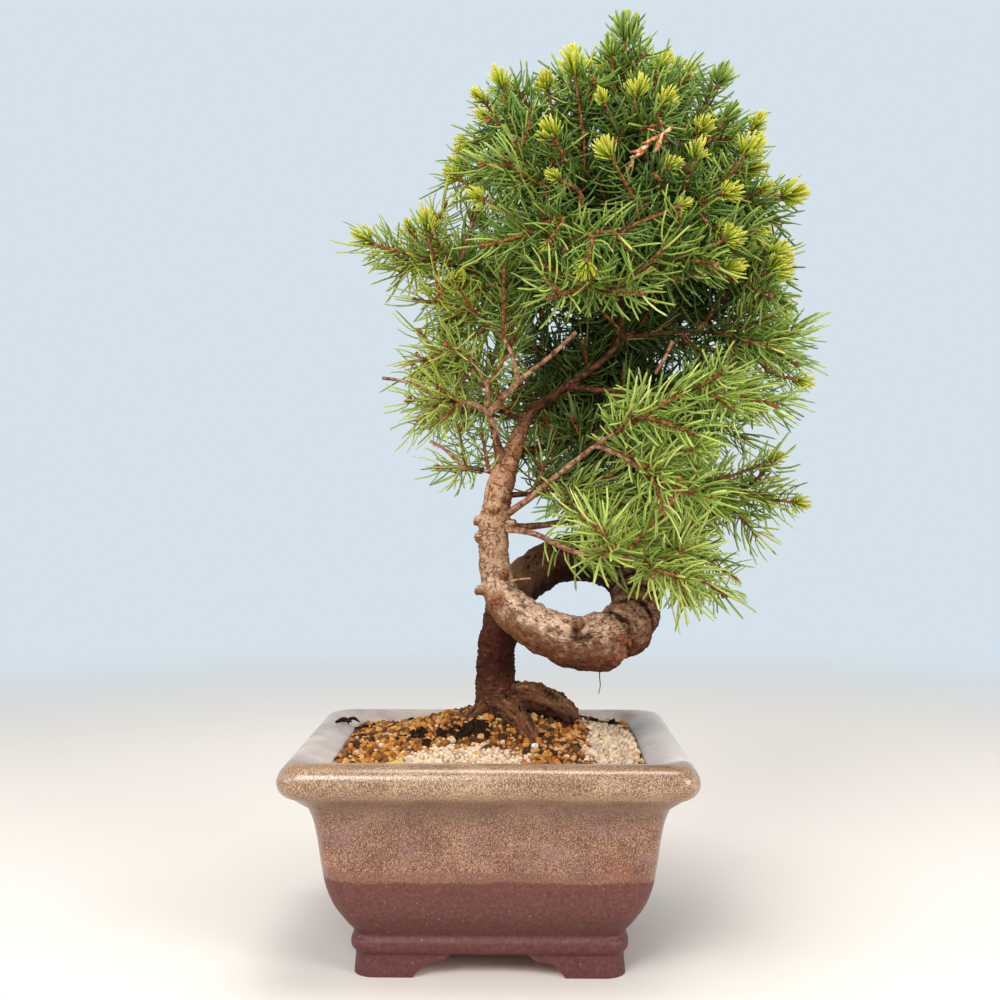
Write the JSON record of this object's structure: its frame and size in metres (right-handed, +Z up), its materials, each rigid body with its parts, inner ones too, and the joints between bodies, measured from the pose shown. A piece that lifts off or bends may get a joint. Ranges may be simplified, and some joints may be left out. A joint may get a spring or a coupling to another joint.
{
  "type": "spruce bonsai",
  "caption": "Small spruce with one full coil in its trunk and an oval crown of short needles, rooted in grainy soil in a rectangular glazed pot with a rolled lip and four bracket feet.",
  "frame": {"origin": "middle of the whole tree and pot seen from above, on the surface that the feet stand on", "axes": "+Z up, -Y towards the front that the picture shows, +X to the right of it"},
  "size_m": [0.2316, 0.158, 0.4113],
  "materials": {
    "pot_glaze": "satin",
    "soil_grain": "matte",
    "pumice_grain": "matte",
    "net_plastic": "matte",
    "bark": "matte",
    "needles": "satin"
  },
  "bodies": {
    "root": {"drain_net_left": "net_plastic", "drain_net_right": "net_plastic", "pot": "pot_glaze", "pumice_front": "pumice_grain", "pumice_right": "pumice_grain", "soil": "soil_grain", "spray_apex": "needles", "spray_back_left": "needles", "spray_back_left_low": "needles", "spray_back_mid": "needles", "spray_back_right": "needles", "spray_back_upper": "needles", "spray_crown_back": "needles", "spray_crown_far_left": "needles", "spray_crown_front": "needles", "spray_crown_left": "needles", "spray_crown_right": "needles", "spray_front_left": "needles", "spray_front_low": "needles", "spray_front_right": "needles", "spray_front_upper": "needles", "spray_inner_left": "needles", "spray_inner_right": "needles", "spray_left_limb": "needles", "spray_left_lobe": "needles", "spray_left_twig": "needles", "spray_left_up": "needles", "spray_left_upper": "needles", "spray_low_back": "needles", "spray_low_front": "needles", "spray_low_right": "needles", "spray_mid_back": "needles", "spray_mid_back_right": "needles", "spray_mid_front": "needles", "spray_mid_right": "needles", "spray_pale_fork": "needles", "spray_pale_right": "needles", "spray_right_mid": "needles", "spray_right_upper": "needles", "tree": "bark"}
  },
  "joints": []
}
